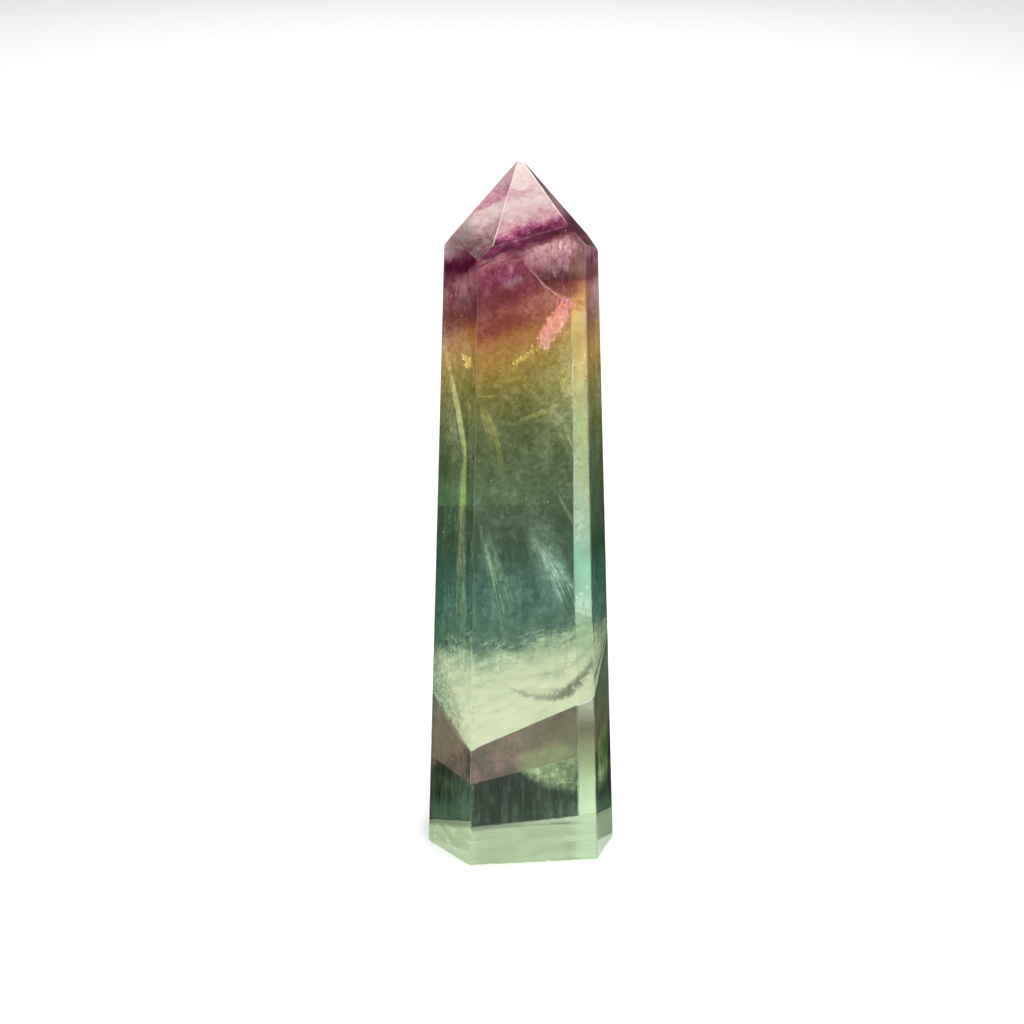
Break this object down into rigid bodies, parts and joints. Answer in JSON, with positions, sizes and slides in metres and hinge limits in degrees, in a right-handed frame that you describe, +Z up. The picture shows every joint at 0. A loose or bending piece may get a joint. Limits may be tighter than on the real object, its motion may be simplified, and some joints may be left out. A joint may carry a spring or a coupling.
{
  "type": "fluorite tower",
  "caption": "Tapered six-sided polished tower of banded clear fluorite with a faceted point, standing on its flat base.",
  "frame": {"origin": "under the middle of the tower's box, in the plane of its flat base", "axes": "+Z up along the tower to its point; the widest flat, the front, faces -Y; +X to the right seen from the front"},
  "size_m": [0.0238, 0.0198, 0.0898],
  "materials": {
    "fluorite": "polished clear fluorite, banded purple, rose, amber, olive, green and teal from point to base"
  },
  "bodies": {
    "root": {"tower": "fluorite"}
  },
  "joints": []
}
